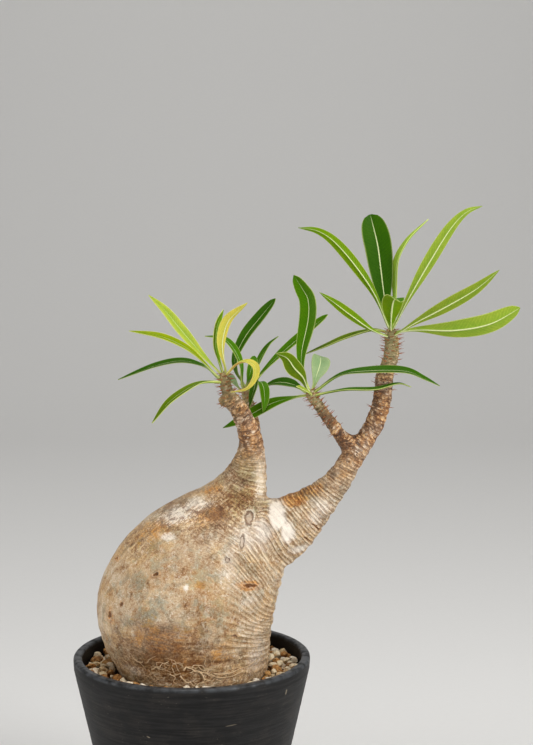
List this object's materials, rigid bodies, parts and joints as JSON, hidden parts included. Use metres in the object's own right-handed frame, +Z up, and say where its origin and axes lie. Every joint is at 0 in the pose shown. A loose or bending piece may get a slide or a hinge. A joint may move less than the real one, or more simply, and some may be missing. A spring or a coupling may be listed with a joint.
{
  "type": "potted pachypodium",
  "caption": "Potted succulent with a swollen bottle-shaped caudex, short spiny branches and tufts of long narrow leaves, in a plain round pot of grit.",
  "frame": {"origin": "middle of the pot's underside, on the surface that the pot stands on", "axes": "+Z up along the pot's axis, -Y towards the front of the plant, +X to the right seen from the front"},
  "size_m": [0.2223, 0.12, 0.3225],
  "materials": {
    "black_pot": "matte",
    "grit": "matte",
    "bark": "satin",
    "leaf_green": "satin",
    "leaf_deep_green": "satin",
    "leaf_light_green": "satin",
    "leaf_lime": "satin",
    "leaf_yellow": "satin"
  },
  "bodies": {
    "root": {"pot": "black_pot", "grit": "grit", "caudex": "bark", "leaf_left_1": "leaf_lime", "leaf_left_2": "leaf_lime", "leaf_left_3": "leaf_deep_green", "leaf_left_4": "leaf_green", "leaf_left_5": "leaf_light_green", "leaf_left_6": "leaf_yellow", "leaf_left_7": "leaf_yellow", "leaf_back_1": "leaf_green", "leaf_back_2": "leaf_green", "leaf_back_3": "leaf_green", "leaf_back_4": "leaf_green", "leaf_back_5": "leaf_deep_green", "leaf_back_6": "leaf_green", "leaf_back_7": "leaf_green", "leaf_back_8": "leaf_green", "leaf_middle_1": "leaf_deep_green", "leaf_middle_2": "leaf_light_green", "leaf_middle_3": "leaf_light_green", "leaf_middle_4": "leaf_deep_green", "leaf_middle_5": "leaf_green", "leaf_middle_6": "leaf_deep_green", "leaf_middle_7": "leaf_green", "leaf_middle_8": "leaf_lime", "leaf_right_1": "leaf_light_green", "leaf_right_2": "leaf_deep_green", "leaf_right_3": "leaf_light_green", "leaf_right_4": "leaf_light_green", "leaf_right_5": "leaf_light_green", "leaf_right_6": "leaf_light_green", "leaf_right_7": "leaf_green", "leaf_right_8": "leaf_green", "leaf_right_9": "leaf_light_green"}
  },
  "joints": []
}
